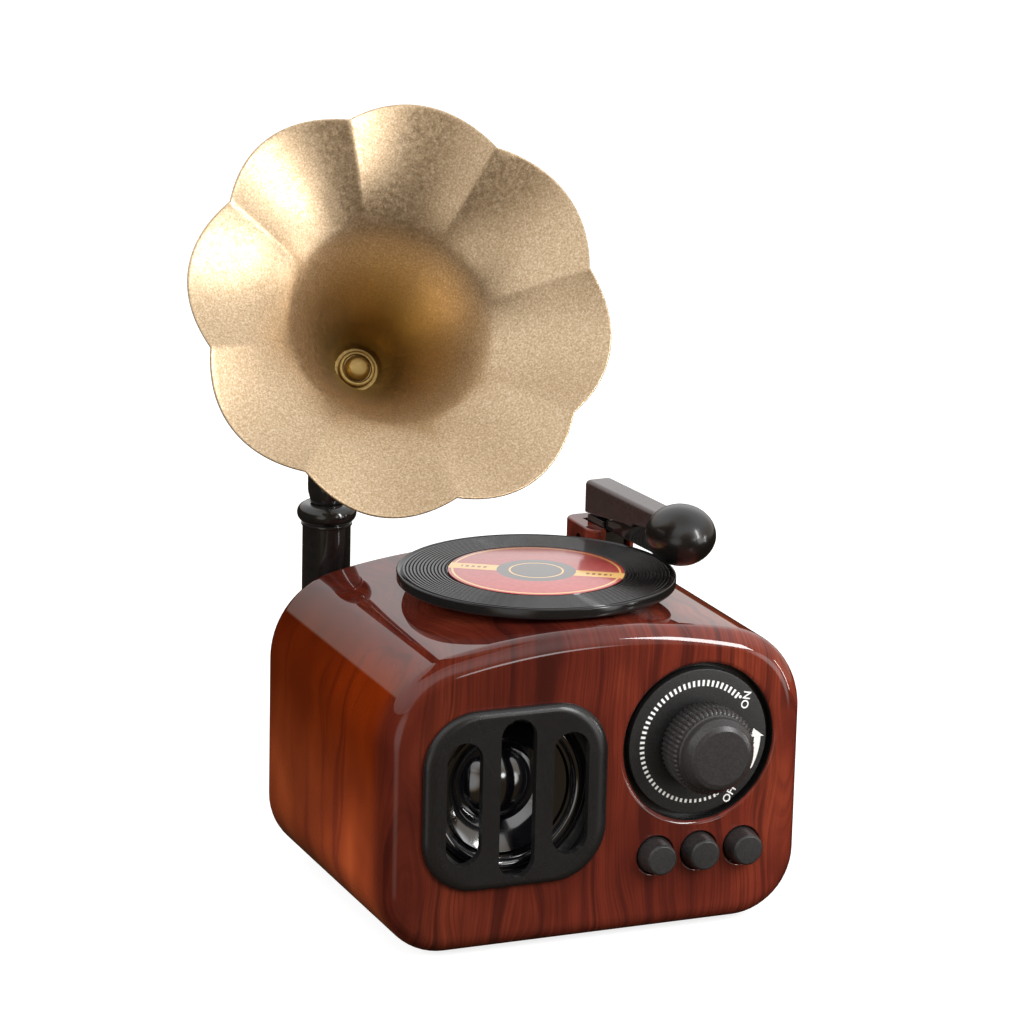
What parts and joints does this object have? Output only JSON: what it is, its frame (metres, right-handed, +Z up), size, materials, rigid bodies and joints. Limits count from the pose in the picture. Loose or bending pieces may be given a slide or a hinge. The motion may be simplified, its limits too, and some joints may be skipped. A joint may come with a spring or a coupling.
{
  "type": "horn loudspeaker",
  "caption": "Miniature gramophone-style loudspeaker: arched wood-print cabinet with grille, volume dial and keys, dummy record and tone arm on top, and a petalled horn on a rear post.",
  "frame": {"origin": "centre of the underside of the non-slip pad under the cabinet, on the surface it stands on", "axes": "+X to the right as seen from the front, +Y from the front to the rear, +Z up"},
  "size_m": [0.1373, 0.1066, 0.1837],
  "materials": {
    "wood_print": "high gloss lacquer over a printed dark mahogany grain",
    "satin_black": "fine satin black moulded plastic",
    "gloss_black": "gloss black moulded plastic",
    "arm_brown": "dark brown-black satin gloss plastic",
    "horn_gold": "champagne gold metallic paint with a fine sparkle",
    "dial_face": "matt charcoal",
    "white_print": "white printed scale marks",
    "record_black": "grooved gloss black",
    "record_label": "satin printed label, red with yellow lines",
    "rubber_pad": "matt rubber",
    "foam_rubber": "closed-cell foam rubber",
    "soft_rubber": "smooth soft rubber",
    "driver_cone": "gloss black polypropylene",
    "steel": "bright plated steel",
    "copper": "enamelled copper winding",
    "ferrite": "dull grey ferrite",
    "circuit_board": "green solder mask",
    "foil_can": "plain silver foil",
    "lead_wire": "insulated wire"
  },
  "bodies": {
    "cabinet": {"base_pad": "rubber_pad", "battery_cell": "foil_can", "battery_lead": "lead_wire", "board_screw_1": "steel", "board_screw_2": "steel", "bracket_screw_1": "steel", "bracket_screw_2": "steel", "button_board": "circuit_board", "cabinet_shell": "wood_print", "card_slot": "steel", "charging_socket": "steel", "cover_screw_1": "steel", "cover_screw_2": "steel", "cover_screw_3": "steel", "cover_screw_4": "steel", "dial_plate": "dial_face", "driver_basket": "gloss_black", "driver_cone": "driver_cone", "driver_gasket": "foam_rubber", "driver_lead": "lead_wire", "driver_magnet": "ferrite", "driver_screw_1": "steel", "driver_screw_2": "steel", "driver_surround": "soft_rubber", "driver_top_plate": "steel", "driver_yoke": "steel", "dust_cap": "driver_cone", "horn_post": "gloss_black", "main_board": "circuit_board", "platter_bush": "satin_black", "plinth_screw": "steel", "post_bracket": "gloss_black", "potentiometer": "steel", "potentiometer_nut": "steel", "rear_cover": "satin_black", "speaker_grille": "satin_black", "tact_switch_1": "satin_black", "tact_switch_2": "satin_black", "tact_switch_3": "satin_black", "tonearm_pin": "steel", "tonearm_plinth": "wood_print", "voice_coil": "copper", "wireless_module": "foil_can"},
    "key_1": {"key_cap_1": "satin_black"},
    "key_2": {"key_cap_2": "satin_black"},
    "key_3": {"key_cap_3": "satin_black"},
    "volume": {"volume_knob": "satin_black", "volume_shaft": "steel"},
    "record": {"record_disc": "record_black", "record_label": "record_label", "spindle": "steel", "spindle_clip": "steel"},
    "tonearm": {"tonearm_leg": "gloss_black", "tonearm_beam": "arm_brown", "tonearm_head": "gloss_black"},
    "horn": {"horn_neck": "gloss_black", "horn_bell": "horn_gold", "throat_washer": "horn_gold", "throat_screw": "horn_gold"}
  },
  "joints": [
    {"name": "key_1_press", "type": "slide", "parent": "cabinet", "child": "key_1", "axis": [0, 1, 0], "range_m": [0, 0.0008], "stiffness_N_per_m": 1200},
    {"name": "key_2_press", "type": "slide", "parent": "cabinet", "child": "key_2", "axis": [0, 1, 0], "range_m": [0, 0.0008], "stiffness_N_per_m": 1200},
    {"name": "key_3_press", "type": "slide", "parent": "cabinet", "child": "key_3", "axis": [0, 1, 0], "range_m": [0, 0.0008], "stiffness_N_per_m": 1200},
    {"name": "volume_turn", "type": "hinge", "parent": "cabinet", "child": "volume", "pos_m": [0.0242, -0.0397, 0.0444], "axis": [0, 1, 0], "range_deg": [0, 300]},
    {"name": "record_spin", "type": "hinge", "parent": "cabinet", "child": "record", "pos_m": [0.0004, -0.001, 0.0745], "axis": [0, 0, 1], "continuous": true},
    {"name": "tonearm_lift", "type": "hinge", "parent": "cabinet", "child": "tonearm", "pos_m": [0.0297, 0.0275, 0.0741], "axis": [-0.9969, -0.0785, 0], "range_deg": [0, 20]},
    {"name": "horn_swivel", "type": "hinge", "parent": "cabinet", "child": "horn", "pos_m": [-0.0326, 0.0463, 0.0802], "axis": [0, 0, 1], "range_deg": [-90, 90]}
  ]
}
